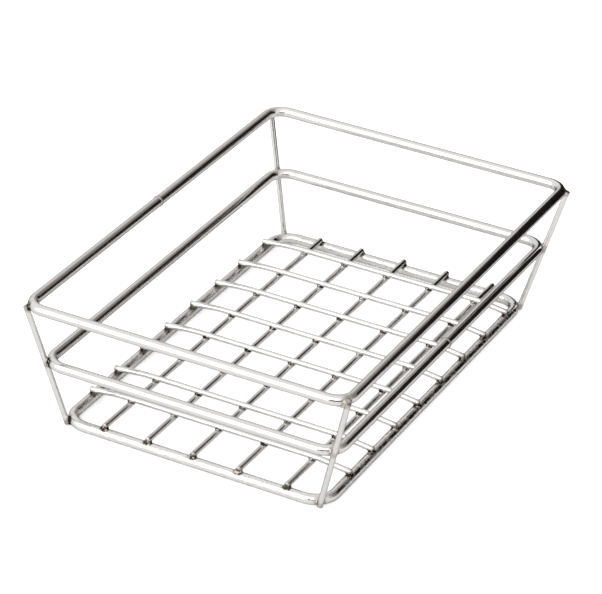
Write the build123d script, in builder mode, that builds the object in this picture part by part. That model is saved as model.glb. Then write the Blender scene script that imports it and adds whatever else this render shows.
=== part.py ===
"""Shallow tapered basket of round stainless wire.

Three rounded-rectangle rings of heavy wire stand one above the other on four
light corner posts, and a grid of light wire closes the lowest ring as a floor.
Every crossing is a weld, and each ring is one bent wire butt-welded end to end.
X runs along the basket, Y across it and Z up from the surface it stands on.
"""
from build123d import *
import os
from math import cos, sin, radians

os.makedirs("parts", exist_ok=True)

# ---------------------------------------------------------------- wire sizes
frame_wire = 4.8          # diameter of the three ring wires
light_wire = 2.6          # diameter of the posts and floor wires
set_down = 0.3            # how far a light wire sinks into the wire it is welded to
end_break = 0.25          # broken edge on a cut wire end

# ------------------------------------------- rings, measured on the centreline
# the butt weld of each ring is at the middle of a long side, +1 for the +Y side
rim = dict(length=224.0, width=151.2, radius=8.0, height=61.5, seam_side=1)
middle = dict(length=213.0, width=139.4, radius=9.0, height=32.6, seam_side=-1)
bottom = dict(length=200.2, width=126.4, radius=10.0, height=frame_wire / 2, seam_side=1)
seam_gap = 1.2            # width of the butt weld between the two wire ends
seam_upset = 0.25         # how far a butt weld stands proud, but for the one stood on

# ------------------------------------------------------------- corner posts
post_foot = 1.0           # height of the lower cut end
post_top = 61.4           # height of the upper cut end
# where each post touches the corner bend: angle from the X direction, at rim and at floor
post_angles = {
    "front_left": (-1, -1, 51, 38),
    "front_right": (1, -1, 64, 54),
    "back_left": (-1, 1, 45, 45),
    "back_right": (1, 1, 55, 39),
}

# -------------------------------------------------------------- floor wires
# the floor wires are laid by hand, so their spacing and their ends are not quite even
long_wire_y = [-46.25, -23.05, -0.95, 21.05, 42.45]
long_wire_left = -100.4   # cut end at the -X side, the same for all of them
long_wire_right = [102.9, 102.3, 101.7, 100.7, 99.4]
long_wire_skew = -0.55    # degrees that the long wires lean off the X direction
cross_wire_x = [-77.5, -56.45, -33.85, -11.55, 11.95, 35.45, 58.15, 82.45]
cross_wire_ends = (-63.9, 63.6)
cross_bend_y = 49.0       # where a cross wire turns down towards the ring
cross_bend_radius = 60.0

long_wire_z = frame_wire + light_wire / 2 - set_down
cross_wire_z = long_wire_z + light_wire - set_down
cross_front_z = frame_wire + light_wire / 2 - set_down / 2
cross_back_z = 6.6        # the welds at the +Y side hold the cross wires off the ring

# -------------------------------------------------------------------- welds
post_weld_radius = 1.75
end_weld_radius = 1.6


def save(name, piece):
    piece.label = name
    export_step(piece, f"parts/{name}.step")


def bent_ring(length, width, radius, height, seam_side):
    """Heavy wire bent round four corners, open by seam_gap where it is butt-welded."""
    seam_y = seam_side * width / 2
    points = [
        (seam_gap / 2, seam_y),
        (length / 2, seam_y),
        (length / 2, -seam_y),
        (-length / 2, -seam_y),
        (-length / 2, seam_y),
        (-seam_gap / 2, seam_y),
    ]
    with BuildPart() as ring:
        with BuildLine(Plane.XY.offset(height)) as route:
            FilletPolyline(*points, radius=radius)
        with BuildSketch(Plane(origin=route.line @ 0, z_dir=route.line % 0)):
            Circle(frame_wire / 2)
        sweep(path=route.line)
    return ring.part


def butt_weld(width, height, seam_side, upset):
    """Bead that fills the gap between a ring's two ends, proud of the wire by upset."""
    start = Plane(origin=(-seam_gap / 2, seam_side * width / 2, height), z_dir=(1, 0, 0))
    with BuildPart() as bead:
        with BuildSketch(start):
            Circle(frame_wire / 2 + upset)
        extrude(amount=seam_gap)
        if upset:
            fillet(bead.edges().filter_by(GeomType.CIRCLE), radius=upset)
    return bead.part


def cut_wire(start, end):
    """Straight light wire from start to end, with its cut ends broken."""
    run = end - start
    with BuildPart() as wire:
        with BuildSketch(Plane(origin=start, z_dir=run)):
            Circle(light_wire / 2)
        extrude(amount=run.length)
        chamfer(wire.edges().filter_by(GeomType.CIRCLE), length=end_break)
    return wire.part


def bend_centre(ring, side_x, side_y):
    """Centre of the bend at one corner of a ring."""
    x = ring["length"] / 2 - ring["radius"]
    y = ring["width"] / 2 - ring["radius"]
    return Vector(side_x * x, side_y * y, ring["height"])


def post_seat(ring, side_x, side_y, angle):
    """Where a post's centreline passes a ring, angle degrees round the bend from X."""
    out = ring["radius"] + (frame_wire + light_wire) / 2 - set_down
    turn = radians(angle)
    return bend_centre(ring, side_x, side_y) + Vector(side_x * cos(turn), side_y * sin(turn), 0) * out


# ================================================================ floor wires
long_wires = []
for number, (y, right) in enumerate(zip(long_wire_y, long_wire_right), start=1):
    lean = sin(radians(long_wire_skew))
    start = Vector(long_wire_left, y + long_wire_left * lean, long_wire_z)
    end = Vector(right, y + right * lean, long_wire_z)
    long_wires.append((f"floor_long_wire_{number}", cut_wire(start, end), start, end))

cross_wires = []
for number, x in enumerate(cross_wire_x, start=1):
    front, back = cross_wire_ends
    start = (x, front, cross_front_z)
    end = (x, back, cross_back_z)
    with BuildPart() as cross_wire:
        with BuildLine() as route:
            FilletPolyline(
                start,
                (x, -cross_bend_y, cross_wire_z),
                (x, cross_bend_y, cross_wire_z),
                end,
                radius=cross_bend_radius,
            )
        with BuildSketch(Plane(origin=route.line @ 0, z_dir=route.line % 0)):
            Circle(light_wire / 2)
        sweep(path=route.line)
        tips = cross_wire.edges().filter_by(GeomType.CIRCLE)
        chamfer(tips.group_by(Axis.Y)[0] + tips.group_by(Axis.Y)[-1], length=end_break)
    cross_wires.append((f"floor_cross_wire_{number}", cross_wire.part, start, end))

for name, wire, start, end in cross_wires:
    save(name, wire)

# a cross wire sinks into each long wire that it crosses
for name, wire, start, end in long_wires:
    with BuildPart() as long_wire:
        add(wire)
        for cross_name, cross, cross_start, cross_end in cross_wires:
            add(cross, mode=Mode.SUBTRACT)
    save(name, long_wire.part)

# =============================================================== corner posts
posts = []
post_contacts = []
for corner, (side_x, side_y, rim_angle, floor_angle) in post_angles.items():
    high = post_seat(rim, side_x, side_y, rim_angle)
    low = post_seat(bottom, side_x, side_y, floor_angle)
    rise = (high - low) * (1 / (high.Z - low.Z))
    post = cut_wire(low + rise * (post_foot - low.Z), low + rise * (post_top - low.Z))
    save(f"corner_post_{corner}", post)
    posts.append(post)
    for ring in (rim, middle, bottom):
        seat = low + rise * (ring["height"] - low.Z)
        inward = (bend_centre(ring, side_x, side_y) - seat).normalized()
        post_contacts.append(seat + inward * (light_wire / 2 - set_down))

# ====================================================== rings and butt welds
floor_wires = [wire for name, wire, start, end in long_wires + cross_wires]
whole_rings = []
for name, sizes, sunk in (
    ("top_rim", rim, posts),
    ("middle_ring", middle, posts),
    ("bottom_ring", bottom, posts + floor_wires),
):
    whole_ring = bent_ring(**sizes)
    whole_rings.append(whole_ring)
    with BuildPart() as ring:
        add(whole_ring)
        for wire in sunk:
            add(wire, mode=Mode.SUBTRACT)
    save(name, ring.part)
    upset = 0 if sizes is bottom else seam_upset
    bead = butt_weld(sizes["width"], sizes["height"], sizes["seam_side"], upset)
    save(f"{name}_butt_weld", bead)

# ===================================================================== welds
# beads in the crevices beside each post, where it touches a ring
with BuildPart() as post_welds:
    with Locations(*post_contacts):
        Sphere(post_weld_radius, rotation=(90, 0, 0))
    for wire in posts + whole_rings:
        add(wire, mode=Mode.SUBTRACT)
save("post_welds", post_welds.part)

# beads round the ends of the floor wires, where they lie on the bottom ring
ring_x = bottom["length"] / 2
ring_y = bottom["width"] / 2
end_contacts = []
for name, wire, start, end in long_wires:
    lean = sin(radians(long_wire_skew))
    for x in (-ring_x, ring_x):
        end_contacts.append((x, start.Y + (x - start.X) * lean, frame_wire))
for x in cross_wire_x:
    for y in (-ring_y, ring_y):
        end_contacts.append((x, y, frame_wire))
with BuildPart() as floor_end_welds:
    with Locations(*end_contacts):
        Sphere(end_weld_radius)
    for wire in floor_wires + whole_rings[-1:]:
        add(wire, mode=Mode.SUBTRACT)
save("floor_end_welds", floor_end_welds.part)
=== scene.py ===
import bpy
import numpy as np
from math import sin, cos, pi, radians
from mathutils import Matrix, Vector


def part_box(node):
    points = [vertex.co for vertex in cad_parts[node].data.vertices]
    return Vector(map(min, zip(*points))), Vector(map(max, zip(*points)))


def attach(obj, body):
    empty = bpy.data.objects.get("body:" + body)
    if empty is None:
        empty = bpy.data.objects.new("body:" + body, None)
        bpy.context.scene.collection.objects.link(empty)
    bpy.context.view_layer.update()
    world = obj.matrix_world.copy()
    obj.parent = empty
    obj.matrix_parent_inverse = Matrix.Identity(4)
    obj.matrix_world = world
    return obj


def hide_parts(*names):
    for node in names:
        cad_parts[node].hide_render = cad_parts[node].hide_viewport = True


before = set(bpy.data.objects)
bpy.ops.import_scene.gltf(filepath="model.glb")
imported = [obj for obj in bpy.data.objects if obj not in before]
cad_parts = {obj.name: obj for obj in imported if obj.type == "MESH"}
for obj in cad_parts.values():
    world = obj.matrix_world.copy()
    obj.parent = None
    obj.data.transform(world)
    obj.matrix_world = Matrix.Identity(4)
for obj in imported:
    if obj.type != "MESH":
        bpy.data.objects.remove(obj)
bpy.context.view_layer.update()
mm = 0.001

# Wire basket: three heavy rings, four light posts, a welded floor grid.
# Every wire is redrawn as a smooth surface where the frame says it lies.

ringSettings = {
    "names": ["top_rim", "middle_ring", "bottom_ring"],
    "wire": 4.8 * mm,
    "bends": [8.0 * mm, 9.0 * mm, 10.0 * mm],   # corner radius on the centreline
    "step": 1.0 * mm,                           # spacing of the sections along the wire
    "sides": 40,
    "bendSteps": 24,                            # points along one corner arc
    "weldSides": [1, -1, 1],                    # +Y or -Y long side has the butt weld
}

lightSettings = {
    "wire": 2.6 * mm,
    "step": 0.8 * mm,
    "sides": 28,
    "endRound": 0.30 * mm,                      # rounding of a cropped end
    "endSteps": [0, 0.15, 0.5, 1.0],            # where its sections lie, as shares of it
    "swell": 0.05,                              # the shears leave an end this much fatter
    "swellLength": 0.7 * mm,
    "bendY": 49.0 * mm,                         # a cross wire turns down from here
    "bendRadius": 60.0 * mm,
    "bendSteps": 10,                            # points along that arc
    "tipSlice": 0.4 * mm,                       # vertices this near a tip give its height
}

# how deep a joint's centre lies under the light wire's own, as a share of its radius, and
# how far the heat of its weld spreads
jointSettings = {
    "postDepth": 0.8,
    "longDepth": 0.85,
    "crossDepth": 0.9,
    "heatReach": {"post": 2.4 * mm, "end": 2.2 * mm, "crossing": 1.1 * mm},
    "heatCore": 0.5,                            # share of the reach that is fully hot
}


def gridFaces(rows, sides, closed):
    # four-sided faces of a grid of sections times sides, joined round each section, and the
    # triangles round a pole at each open end; a closed grid joins its last section to its first
    i, j = np.meshgrid(np.arange(rows if closed else rows - 1), np.arange(sides), indexing="ij")
    corners = np.stack([(i, j), (i, j + 1), (i + 1, j + 1), (i + 1, j)], axis=-1)
    row, side = corners[0].reshape(-1, 4), corners[1].reshape(-1, 4)
    quads = (row % rows) * sides + side % sides
    if closed:
        return row, side, quads, np.zeros((0, 3), int)
    ring = np.arange(sides)
    after = (ring + 1) % sides
    pole, base = rows * sides, (rows - 1) * sides
    start = np.stack([after, ring, np.full(sides, pole)], axis=1)
    end = np.stack([base + ring, base + after, np.full(sides, pole + 1)], axis=1)
    return row, side, quads, np.concatenate([start, end])


def skinMesh(name, verts, faces, heat, uv):
    # smooth-shaded mesh that carries how far each vertex was heated, and its UV map if any
    mesh = bpy.data.meshes.new(name)
    mesh.from_pydata(verts.tolist(), [], faces)
    mesh.attributes.new("warmth", "FLOAT", "POINT").data.foreach_set("value", heat.astype(np.float32))
    if uv is not None:
        mesh.uv_layers.new(name="run").data.foreach_set("uv", uv.astype(np.float32).ravel())
    mesh.polygons.foreach_set("use_smooth", np.ones(len(faces), bool))
    mesh.update()
    return mesh


def gridMesh(name, points, heat, along, closed):
    # skin over a grid of points; its UV map runs along the wire in metres and once round it
    rows, sides = points.shape[:2]
    row, side, quads, fans = gridFaces(rows, sides, closed)
    length = np.append(along, 2 * along[-1] - along[-2])
    uv = [np.stack([length[row], side / sides], axis=-1).reshape(-1, 2)]
    verts, warm = points.reshape(-1, 3), heat.reshape(-1)
    if not closed:
        ring = np.arange(sides)
        for end, turn in ((along[0], (1, 0, 0.5)), (along[-1], (0, 1, 0.5))):
            cap = np.stack([(ring + t) / sides for t in turn], axis=1)
            uv.append(np.stack([np.full(cap.shape, end), cap], axis=-1).reshape(-1, 2))
        verts = np.concatenate([verts, [points[0].mean(0), points[-1].mean(0)]])
        warm = np.concatenate([warm, [heat[0].mean(), heat[-1].mean()]])
    return skinMesh(name, verts, quads.tolist() + fans.tolist(), warm, np.concatenate(uv))


def place(name, mesh, material, slotName, *nodes):
    # object at the origin that rides the body and stands in for the given CAD nodes
    piece = bpy.data.objects.new(name, mesh)
    bpy.context.scene.collection.objects.link(piece)
    mesh.materials.append(material)
    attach(piece, "root")
    if nodes:
        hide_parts(*nodes)


def tube(path, radius, sides, guide):
    # circle of the given radius about each point of the path; its plane is square to the
    # path, and its first spoke is square to both the path and the guide direction
    tangent = np.gradient(path, axis=0)
    tangent /= np.linalg.norm(tangent, axis=1)[:, None]
    across = np.cross(guide, tangent)
    across /= np.linalg.norm(across, axis=1)[:, None]
    up = np.cross(tangent, across)
    turn = np.arange(sides) * 2 * pi / sides
    spoke = across[:, None] * np.cos(turn)[None, :, None] + up[:, None] * np.sin(turn)[None, :, None]
    return path[:, None] + spoke * np.asarray(radius)[:, None, None]


def runLength(path):
    # length along the path from its start to each point: running sum of the steps
    return np.concatenate([[0], np.cumsum(np.linalg.norm(np.diff(path, axis=0), axis=1))])


def resample(path, step):
    # same line with evenly spaced points
    run = runLength(path)
    count = max(2, int(round(run[-1] / step)) + 1)
    even = np.linspace(0, run[-1], count)
    return np.stack([np.interp(even, run, path[:, k]) for k in range(3)], axis=1)


class Ring:
    # rounded rectangle centreline of one heavy ring, measured from its CAD box
    def __init__(self, name, bend, weldSide):
        low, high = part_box(name)
        wire = ringSettings["wire"]
        self.name, self.bend, self.weldSide = name, bend, weldSide
        self.radius = wire / 2
        self.half = np.array([(high.x - low.x - wire) / 2, (high.y - low.y - wire) / 2])
        self.z = (low.z + high.z) / 2

    def path(self):
        # quarter arcs joined by the straight sides, starting beside the butt weld
        core = self.half - self.bend
        arc = np.linspace(pi / 2, 0, ringSettings["bendSteps"])
        points = [np.array([[0, self.half[1]]])]
        for sx, sy, turns in ((1, 1, 0), (1, -1, 1), (-1, -1, 2), (-1, 1, 3)):
            angle = arc - turns * pi / 2
            circle = np.stack([np.cos(angle), np.sin(angle)], axis=1) * self.bend
            points.append(circle + core * (sx, sy))
        flat = np.concatenate(points) * (1, self.weldSide)
        flat = np.concatenate([flat, flat[:1]])
        line = np.column_stack([flat, np.full(len(flat), self.z)])
        return resample(line, ringSettings["step"])[:-1]

    def distance(self, p):
        # distance from the wire's skin: rounded box distance in plan, joined with height
        q = np.abs(p[..., :2]) - (self.half - self.bend)
        plan = np.linalg.norm(np.maximum(q, 0), axis=-1) + np.minimum(q.max(-1), 0) - self.bend
        return np.hypot(plan, p[..., 2] - self.z) - self.radius


class Light:
    # light wire whose centreline is a polyline
    def __init__(self, name, line, radius):
        self.name, self.line, self.radius = name, np.asarray(line), radius

    def distance(self, p):
        # nearest distance to any stretch of the line less the radius, cut flat by the planes
        # through the two ends; the end stretches run on past them
        line, last, past = self.line, len(self.line) - 2, 9
        gaps, ends = [], []
        for k, (a, b) in enumerate(zip(line[:-1], line[1:])):
            run = b - a
            along = ((p - a) @ run) / (run @ run)
            t = np.clip(along, -past if k == 0 else 0, past if k == last else 1)
            gaps.append(np.linalg.norm(p - a - t[..., None] * run, axis=-1))
            length = np.linalg.norm(run)
            ends += [-along * length] if k == 0 else []
            ends += [(along - 1) * length] if k == last else []
        return np.maximum(np.min(gaps, axis=0) - self.radius, np.max(ends, axis=0))


def nodePoints(name):
    # vertices of a CAD node, one row each
    co = np.zeros(len(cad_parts[name].data.vertices) * 3, np.float32)
    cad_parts[name].data.vertices.foreach_get("co", co)
    return co.reshape(-1, 3).astype(float)


lightRadius = lightSettings["wire"] / 2
ringRows = zip(ringSettings["names"], ringSettings["bends"], ringSettings["weldSides"])
rings = [Ring(*row) for row in ringRows]
rim, middle, bottom = rings


def postLine(name):
    # a post is straight: its axis is the main direction of its vertices
    co = nodePoints(name)
    centre = (co.max(0) + co.min(0)) / 2
    axis = np.linalg.svd(co - co.mean(0), full_matrices=False)[2][0]
    axis *= np.sign(axis[2])
    t = (co - centre) @ axis
    return np.array([centre + axis * t.min(), centre + axis * t.max()])


def longLine(name):
    # straight and level; its lean is the slope of the line fitted to its vertices from above
    low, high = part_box(name)
    co = nodePoints(name)
    lean = np.polyfit(co[:, 0], co[:, 1], 1)
    ends = np.array([low.x, high.x])
    height = low.z + lightRadius
    return np.column_stack([ends, np.polyval(lean, ends), [height, height]])


def crossLine(name):
    # flat over the long wires, then turned down through a tangent arc onto the bottom ring
    low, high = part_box(name)
    co = nodePoints(name)
    x = (low.x + high.x) / 2
    top = high.z - lightRadius
    bendY, bendRadius = lightSettings["bendY"], lightSettings["bendRadius"]
    steps = lightSettings["bendSteps"]
    line = []
    for side, tipY in ((-1, low.y), (1, high.y)):
        tip = co[np.abs(co[:, 1] - tipY) < lightSettings["tipSlice"]]
        tipZ = (tip[:, 2].min() + tip[:, 2].max()) / 2
        slope = np.arctan2(top - tipZ, abs(tipY) - bendY)
        start = bendY - bendRadius * np.tan(slope / 2)
        turn = np.linspace(0, slope, steps)
        y = start + bendRadius * np.sin(turn)
        z = top - bendRadius * (1 - np.cos(turn))
        half = np.column_stack([np.full(steps, x), side * y, z])
        half = np.concatenate([half, [[x, tipY, tipZ]]])
        line.append(half[::-1] if side < 0 else half)
    return np.concatenate(line)


corners = ["front_left", "front_right", "back_left", "back_right"]
posts = [Light(f"corner_post_{c}", postLine(f"corner_post_{c}"), lightRadius) for c in corners]
longNames = sorted(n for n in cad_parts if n.startswith("floor_long_wire"))
crossNames = sorted(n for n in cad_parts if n.startswith("floor_cross_wire"))
longWires = [Light(n, longLine(n), lightRadius) for n in longNames]
crossWires = [Light(n, crossLine(n), lightRadius) for n in crossNames]


def passing(line, axis, value):
    # point where a polyline passes a plane square to one axis
    order = np.argsort(line[:, axis])
    return np.array([np.interp(value, line[order, axis], line[order, k]) for k in range(3)])


# where one wire is welded to another: centre of the joint and the wires that meet there
joints = {"post": [], "end": [], "crossing": []}
for post in posts:
    for ring in rings:
        seat = passing(post.line, 2, ring.z)
        bendCentre = np.append(np.sign(seat[:2]) * (ring.half - ring.bend), ring.z)
        inward = (bendCentre - seat) / np.linalg.norm(bendCentre - seat)
        joints["post"].append((seat + inward * lightRadius * jointSettings["postDepth"], post, ring))
for wires, axis, depth in ((longWires, 0, "longDepth"), (crossWires, 1, "crossDepth")):
    down = (0, 0, lightRadius * jointSettings[depth])
    for wire in wires:
        for reach in (-bottom.half[axis], bottom.half[axis]):
            joints["end"].append((passing(wire.line, axis, reach) - down, wire, bottom))
for cross in crossWires:
    for wire in longWires:
        under = passing(wire.line, 0, cross.line[0, 0])
        over = passing(cross.line, 1, under[1])
        joints["crossing"].append(((under + over) / 2, cross, wire))


def heatAt(points, wire):
    # how far each point was heated: 1 at a joint of this wire, then falling as a bell curve
    # of the distance past the hot core
    warm = np.zeros(points.shape[:-1])
    for kind, reach in jointSettings["heatReach"].items():
        core = reach * jointSettings["heatCore"]
        for centre, one, other in joints[kind]:
            if wire in (one, other):
                gap = np.linalg.norm(points - centre, axis=-1)
                warm = np.maximum(warm, np.exp(-(np.maximum(gap - core, 0) / reach) ** 2))
    return warm


print("wires laid out:", len(rings), "rings,", len(posts), "posts,",
      len(longWires), "long and", len(crossWires), "cross wires")


class Value:
    # a socket that can be used in sums; every operation adds one Math node
    def __init__(self, nodes, socket):
        self.nodes, self.socket = nodes, socket

    def calc(self, operation, a, b=0.0):
        return self.nodes.add("ShaderNodeMath", {"operation": operation}, {0: a, 1: b})

    def __add__(self, other):
        return self.calc("ADD", self, other)

    def __radd__(self, other):
        return self.calc("ADD", other, self)

    def __sub__(self, other):
        return self.calc("SUBTRACT", self, other)

    def __rsub__(self, other):
        return self.calc("SUBTRACT", other, self)

    def __mul__(self, other):
        return self.calc("MULTIPLY", self, other)

    def __rmul__(self, other):
        return self.calc("MULTIPLY", other, self)


class Nodes:
    # builds one node tree
    def __init__(self, tree):
        self.tree = tree

    @classmethod
    def forMaterial(cls, name):
        material = bpy.data.materials.new(name)
        material.use_nodes = True
        nodes = cls(material.node_tree)
        nodes.material, nodes.shader = material, nodes.tree.nodes["Principled BSDF"]
        return nodes

    def add(self, kind, settings, inputs, out=0):
        # any node: its type, settings and inputs, and which output is wanted
        node = self.tree.nodes.new(kind)
        for key, value in settings.items():
            setattr(node, key, value)
        for key, value in inputs.items():
            self.feed(node.inputs[key], value)
        return Value(self, node.outputs[out])

    def feed(self, socket, value):
        if isinstance(value, Value):
            self.tree.links.new(value.socket, socket)
        else:
            socket.default_value = value

    def mix(self, factor, a, b):
        return self.add("ShaderNodeMix", {"data_type": "RGBA"}, {0: factor, 6: a, 7: b}, 2)

    def smooth(self, value, low, high):
        return self.add("ShaderNodeMapRange", {"interpolation_type": "SMOOTHSTEP"},
                        {0: value, 1: low, 2: high})

    def noise(self, vector, scale, detail, distortion=0.0):
        return self.add("ShaderNodeTexNoise", {}, {"Vector": vector, "Scale": scale, "Detail": detail,
                                                   "Distortion": distortion})

    def finish(self, **sockets):
        for key, value in sockets.items():
            self.feed(self.shader.inputs[key.replace("_", " ")], value)
        return self.material


steelSettings = {
    "bright": (0.79, 0.78, 0.765, 1),
    "dull": (0.70, 0.69, 0.67, 1),
    "straw": (0.40, 0.36, 0.29, 1),
    "brown": (0.15, 0.115, 0.08, 1),
    # near-black weld soot, also used as painted crevice shade where the wires meet
    "sootAndCreviceShade": (0.02, 0.016, 0.013, 1),
    "edge": (0.34, 0.34, 0.34, 1),      # steel reflects less near grazing
    "roughness": 0.13,
}


def polishedSteel(name, waviness, pitting, blotch):
    # electropolished wire: long soft ripples, faint drawing lines, pits, matt blotches, and a
    # straw to brown tint where it was heated; the relief is the weighted sum of the noises
    n = Nodes.forMaterial(name)
    place3d = n.add("ShaderNodeTexCoord", {}, {}, 3)
    run = n.add("ShaderNodeUVMap", {"uv_map": "run"}, {})
    heat = n.add("ShaderNodeAttribute", {"attribute_name": "warmth"}, {}, 2)
    drawn = n.noise(n.add("ShaderNodeMapping", {}, {0: run, 3: (60, 22, 1)}), 1.0, 2.0)
    cloud = n.noise(place3d, 160.0, 3.0)
    ripple = n.noise(place3d, 55.0, 2.0)
    grain = n.noise(place3d, 1400.0, 2.0)
    pits = n.noise(place3d, 900.0, 3.0, 0.6)
    matt = n.smooth(n.noise(place3d, 240.0, 3.0, 0.8), 0.42, 0.6) * blotch
    edge = n.smooth(heat + (cloud - 0.5) * 0.7, 0.45, 0.95)
    core = n.smooth(heat + (cloud - 0.5) * 0.9, 0.80, 1.15)
    plain = n.mix(cloud * 0.6, steelSettings["bright"], steelSettings["dull"])
    tinted = n.mix(edge * 0.75, plain, steelSettings["straw"])
    color = n.mix(core * 0.8, tinted, steelSettings["brown"])
    rough = steelSettings["roughness"] + cloud * 0.05 + edge * 0.16 + core * 0.1
    rough = rough + matt * 0.2
    height = ripple * waviness + drawn * 0.06 + grain * (0.012 + edge * 0.05)
    height = height + pits * (pitting + matt)
    bump = n.add("ShaderNodeBump", {}, {"Strength": 0.35, "Distance": 0.4 * mm, "Height": height})
    return n.finish(Base_Color=color, Roughness=rough, Metallic=1.0, Normal=bump,
                    Specular_Tint=steelSettings["edge"])


def weldSteel(name, plainBurn):
    # frozen weld pool: rippled, duller, straw to brown, with soot and painted crevice shade where it
    # is most burnt;
    # how burnt it is comes from the mesh, unless one value is given for all of it
    n = Nodes.forMaterial(name)
    place3d = n.add("ShaderNodeTexCoord", {}, {}, 3)
    burn = plainBurn
    if burn is None:
        burn = n.add("ShaderNodeAttribute", {"attribute_name": "warmth"}, {}, 2)
    patch = n.noise(place3d, 700.0, 3.0, 0.4)
    grain = n.noise(place3d, 2600.0, 2.0)
    tint = n.smooth(patch, 0.35, 0.6)
    clean = n.mix(burn, steelSettings["dull"], steelSettings["straw"])
    color = n.mix(tint * (0.2 + 0.8 * burn), clean, steelSettings["brown"])
    # the most burnt patches go near-black: partly real weld soot, partly painted shade in the
    # crevices at the joint
    sootAndShadeMask = n.smooth(patch, 0.40, 0.52) * n.smooth(burn, 0.1, 0.9)
    color = n.mix(sootAndShadeMask, color, steelSettings["sootAndCreviceShade"])
    rough = 0.28 + patch * 0.2
    bump = n.add("ShaderNodeBump", {}, {"Strength": 0.5, "Distance": 0.15 * mm,
                                        "Height": patch * 0.7 + grain * 0.3})
    return n.finish(Base_Color=color, Roughness=rough, Metallic=1.0, Normal=bump,
                    Specular_Tint=steelSettings["edge"])


ringSteel = polishedSteel("ringSteel", 0.6, 0.05, 0.1)
restingSteel = polishedSteel("restingSteel", 0.9, 0.25, 0.75)
lightSteel = polishedSteel("lightSteel", 0.35, 0.08, 0.2)
burntWeld = weldSteel("burntWeld", None)
dressedWeld = weldSteel("dressedWeld", 0.25)
print("materials ready")


for ring in rings:
    path = ring.path()
    closedPath = np.concatenate([path[-1:], path, path[:1]])
    radius = np.full(len(closedPath), ring.radius)
    skin = tube(closedPath, radius, ringSettings["sides"], (0, 0, 1))[1:-1]
    mesh = gridMesh(ring.name, skin, heatAt(skin, ring), runLength(path), True)
    steel = restingSteel if ring is bottom else ringSteel
    place("ring." + ring.name, mesh, steel, "ring_wire", ring.name)


def croppedWire(wire, guide):
    # straight or bent light wire; near a cut end its radius swells by a bell curve of the
    # distance to the end, and the last bit of it follows a quarter circle
    path = resample(wire.line, lightSettings["step"])
    run = runLength(path)
    soft = lightSettings["endRound"]
    ease = np.array(lightSettings["endSteps"]) * soft
    between = run[(run > soft) & (run < run[-1] - soft)]
    stations = np.concatenate([ease[:-1], between, run[-1] - ease[::-1][1:]])
    path = np.stack([np.interp(stations, run, path[:, k]) for k in range(3)], axis=1)
    toEnd = np.minimum(stations, run[-1] - stations)
    depth = np.minimum(toEnd / soft, 1)
    fat = 1 + lightSettings["swell"] * np.exp(-(toEnd / lightSettings["swellLength"]) ** 2)
    radius = wire.radius * fat - soft * (1 - np.sqrt(1 - (1 - depth) ** 2))
    skin = tube(path, radius, lightSettings["sides"], guide)
    mesh = gridMesh(wire.name, skin, heatAt(skin, wire), stations, False)
    place("wire." + wire.name, mesh, lightSteel, "light_wire", wire.name)


for post in posts:
    croppedWire(post, (1, 0, 0))
for wire in longWires + crossWires:
    croppedWire(wire, (0, 0, 1))
print("wires drawn")


weldSettings = {
    "post": {"reach": 2.2 * mm, "fillet": 1.35 * mm, "proud": -0.05 * mm, "rough": 0.04 * mm,
             "burn": (0.8, 1.0)},
    # end welds burn strongly: their soot is partly painted crevice shade under the wire ends
    "end": {"reach": 2.1 * mm, "fillet": 1.6 * mm, "proud": -0.05 * mm, "rough": 0.04 * mm,
            "burn": (0.7, 1.0)},
    "crossing": {"reach": 1.8 * mm, "fillet": 1.35 * mm, "proud": -0.04 * mm, "rough": 0.02 * mm,
                 "burn": (0.5, 1.0)},
    # the one post whose welds keep full burn: heat tint, soot and painted crevice shade
    "darkWeldPost": "corner_post_back_left",
    "wiped": 0.3,                      # how burnt the welds of the other posts still look
    "around": 32,
    "down": 18,
    "probes": 40,                      # steps along each direction from a bead's centre
    "waves": 2600,                     # frozen ripples, in radians per metre
    "seed": 7,
    "burnSeed": 11,
    "lowest": 0.1 * mm,                # no bead touches what the basket stands on
}


def weldBeads(kind):
    # each bead is a closed skin around its joint: along every direction it reaches to the
    # surface where the two wires' distances are smoothly joined, or to its own reach
    s = weldSettings[kind]
    rng = np.random.default_rng(weldSettings["seed"])
    around, down = weldSettings["around"], weldSettings["down"]
    turn = np.arange(around) * 2 * pi / around
    tilt = (np.arange(down) + 0.5) * pi / down
    ray = np.stack([np.outer(np.sin(tilt), np.cos(turn)), np.outer(np.sin(tilt), np.sin(turn)),
                    np.outer(np.cos(tilt), np.ones(around))], axis=-1)
    depth = np.linspace(0, 1, weldSettings["probes"])
    beads = []
    for centre, one, other in joints[kind]:
        probe = centre + ray[None] * (depth * s["reach"])[:, None, None, None]
        a, b = one.distance(probe), other.distance(probe)
        blend = np.maximum(s["fillet"] - np.abs(a - b), 0) / s["fillet"]
        joined = np.minimum(a, b) - blend ** 2 * s["fillet"] / 4
        ripples = (probe @ rng.normal(0, 1, (3, 3))) * weldSettings["waves"]
        wave = np.sin(ripples + rng.uniform(0, 6, 3)).mean(-1)
        fade = (1 - depth ** 2)[:, None, None]
        joined = joined - s["proud"] * fade + wave * s["rough"] * fade
        outside = joined > 0
        found = outside.any(0)
        k = np.where(found, outside.argmax(0), len(depth) - 1)
        k = np.maximum(k, 1)
        before = np.take_along_axis(joined, (k - 1)[None], 0)[0]
        after = np.take_along_axis(joined, k[None], 0)[0]
        share = np.where(found, -before / np.maximum(after - before, 1e-9), 1.0)
        reach = (depth[k - 1] + np.clip(share, 0, 1) * depth[1]) * s["reach"]
        bead = centre + ray * reach[..., None]
        bead[..., 2] = np.maximum(bead[..., 2], weldSettings["lowest"])
        beads.append(bead)
    return beads


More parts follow.
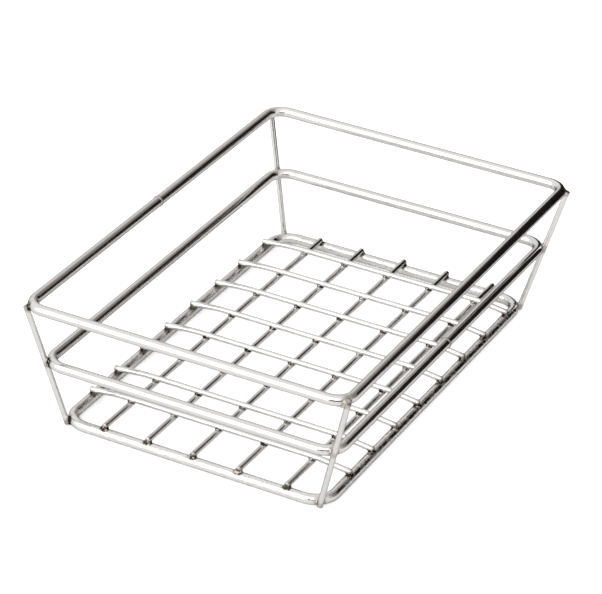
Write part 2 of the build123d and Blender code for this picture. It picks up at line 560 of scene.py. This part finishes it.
def beadGroup(kind, name, slotName, *nodes):
    # all the beads of one kind as one mesh; its warmth attribute says how burnt each bead is, and so
    # how much soot and painted crevice shade it shows
    beads = np.array(weldBeads(kind))[:, ::-1]
    count, rows, sides = beads.shape[:3]
    row, side, quads, fans = gridFaces(rows, sides, False)
    poles = beads[:, [0, -1]].mean(2)
    verts = np.concatenate([beads.reshape(count, -1, 3), poles], axis=1)
    shift = np.arange(count)[:, None, None] * verts.shape[1]
    faces = (quads + shift).reshape(-1, 4).tolist() + (fans + shift).reshape(-1, 3).tolist()
    rng = np.random.default_rng(weldSettings["burnSeed"])
    burn = rng.uniform(*weldSettings[kind]["burn"], count)
    if kind == "post":
        wiped = [post.name != weldSettings["darkWeldPost"] for centre, post, ring in joints[kind]]
        burn = burn * np.where(wiped, weldSettings["wiped"], 1)
    heat = np.repeat(burn, verts.shape[1])
    mesh = skinMesh(name, verts.reshape(-1, 3), faces, heat, None)
    place(name, mesh, burntWeld, slotName, *nodes)


beadGroup("post", "weld.posts", "weld", "post_welds")
beadGroup("end", "weld.floor_ends", "weld", "floor_end_welds")
beadGroup("crossing", "weld.floor_crossings", "weld")

for node in ("top_rim_butt_weld", "middle_ring_butt_weld", "bottom_ring_butt_weld"):
    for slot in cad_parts[node].material_slots:
        slot.material = dressedWeld
print("welds drawn")


studioSettings = {
    "azimuth": -63.88,
    "elevation": 29.38,
    "roll": 2.9,
    "distance": 1.43,
    "aim": (0.01474, 0.00896, 0.025),
    "lens": 189.7,
    "clip": (0.05, 20),
    "floor": 4.0,                      # half its width
    "floorLift": 0.45,                 # the floor's own light, for the camera only
    "backdrop": 1.1,                   # what the camera sees past the floor
    "sky": 0.98,                       # soft light from all round
    "softbox": (-0.93, 0.10, 0.35),    # middle of the big softbox on the -X side
    "softboxEdge": (0.60, 0.80),       # its soft edge, as cosines from the middle
    "softboxLight": 1.4,
    "shade": (0.80, -0.535, 0.257),    # middle of the half dark side of the room
    "shadeEdge": (0.40, 0.90),
    "shadeDepth": 0.76,
    "shadeTint": (1.0, 0.88, 0.83, 1),
    # black cards: corners as width and height, where each stands and how it is turned
    "cards": {
        "sideCard": {"corners": [(-0.15, 0), (0.16, 0), (0.16, 0.26), (-0.22, 0.26), (-0.22, 0.10),
                                 (-0.165, 0.09)],
                     "place": (0.241, -0.125, 0.0), "turn": 56.2},
        "frontCard": {"corners": [(-0.62, 0.05), (0.50, 0.05), (0.50, 0.44), (-0.62, 0.44)],
                      "place": (-0.84, -0.40, 0.0), "turn": 115.0},
    },
}

floorMesh = bpy.data.meshes.new("floor")
half = studioSettings["floor"]
floorMesh.from_pydata([(-half, -half, 0), (half, -half, 0), (half, half, 0), (-half, half, 0)], [],
                      [(0, 1, 2, 3)])
floor = bpy.data.objects.new("floor", floorMesh)
bpy.context.scene.collection.objects.link(floor)
paper = Nodes.forMaterial("whitePaper")
fibre = paper.noise(paper.add("ShaderNodeTexCoord", {}, {}, 3), 40.0, 2.0)
paperColor = paper.mix(fibre * 0.3, (0.88, 0.88, 0.88, 1), (0.86, 0.86, 0.86, 1))
lift = studioSettings["floorLift"] * paper.add("ShaderNodeLightPath", {}, {}, 0)
floorMesh.materials.append(paper.finish(Base_Color=paperColor, Roughness=0.9, Emission_Strength=lift,
                                        Emission_Color=(1, 1, 1, 1)))

world = bpy.data.worlds.new("studio")
bpy.context.scene.world = world
world.use_nodes = True
sky = Nodes(world.node_tree)
toward = sky.add("ShaderNodeTexCoord", {}, {}, 0)


def facing(direction):
    # cosine between the light's direction and a given one
    return sky.add("ShaderNodeVectorMath", {"operation": "DOT_PRODUCT"}, {0: toward, 1: direction}, 1)


s = studioSettings
light = s["sky"] + s["softboxLight"] * sky.smooth(facing(s["softbox"]), *s["softboxEdge"])
shade = sky.smooth(facing(s["shade"]), *s["shadeEdge"])
light = light * (1 - s["shadeDepth"] * shade)
seen = sky.add("ShaderNodeLightPath", {}, {}, 0)
light = light * (1 - seen) + s["backdrop"] * seen
sky.feed(world.node_tree.nodes["Background"].inputs["Strength"], light)
tint = sky.mix(shade * (1 - seen), (1, 1, 1, 1), s["shadeTint"])
sky.feed(world.node_tree.nodes["Background"].inputs["Color"], tint)

# the cards show in the steel only: the side one as the dark line along each long wire, the
# front one as the short dark line in the bends
felt = Nodes.forMaterial("blackFelt")
nap = felt.noise(felt.add("ShaderNodeTexCoord", {}, {}, 3), 9.0, 3.0)
feltColor = felt.mix(nap, (0.002, 0.0015, 0.0015, 1), (0.014, 0.010, 0.009, 1))
felt.finish(Base_Color=feltColor, Roughness=1.0, Specular_IOR_Level=0.0)
for name, sizes in studioSettings["cards"].items():
    cardMesh = bpy.data.meshes.new(name)
    outline = [(u, 0, z) for u, z in sizes["corners"]]
    cardMesh.from_pydata(outline, [], [range(len(outline))])
    turned = Matrix.Rotation(radians(sizes["turn"]), 4, "Z")
    cardMesh.transform(Matrix.Translation(sizes["place"]) @ turned)
    cardMesh.materials.append(felt.material)
    card = bpy.data.objects.new(name, cardMesh)
    bpy.context.scene.collection.objects.link(card)
    card.visible_camera = False
    card.visible_diffuse = False
    card.visible_shadow = False

camera = bpy.data.objects.new("camera", bpy.data.cameras.new("camera"))
bpy.context.scene.collection.objects.link(camera)
a, e = radians(studioSettings["azimuth"]), radians(studioSettings["elevation"])
back = Vector((sin(a) * cos(e), -cos(a) * cos(e), sin(e)))
camera.rotation_mode = "QUATERNION"
level = (-back).to_track_quat("-Z", "Y")
roll = Matrix.Rotation(radians(studioSettings["roll"]), 3, "Z").to_quaternion()
camera.rotation_quaternion = level @ roll
camera.location = Vector(studioSettings["aim"]) + back * studioSettings["distance"]
camera.data.lens = studioSettings["lens"]
camera.data.clip_start, camera.data.clip_end = studioSettings["clip"]
bpy.context.scene.camera = camera
bpy.context.scene.view_settings.view_transform = "Standard"
print("studio ready")
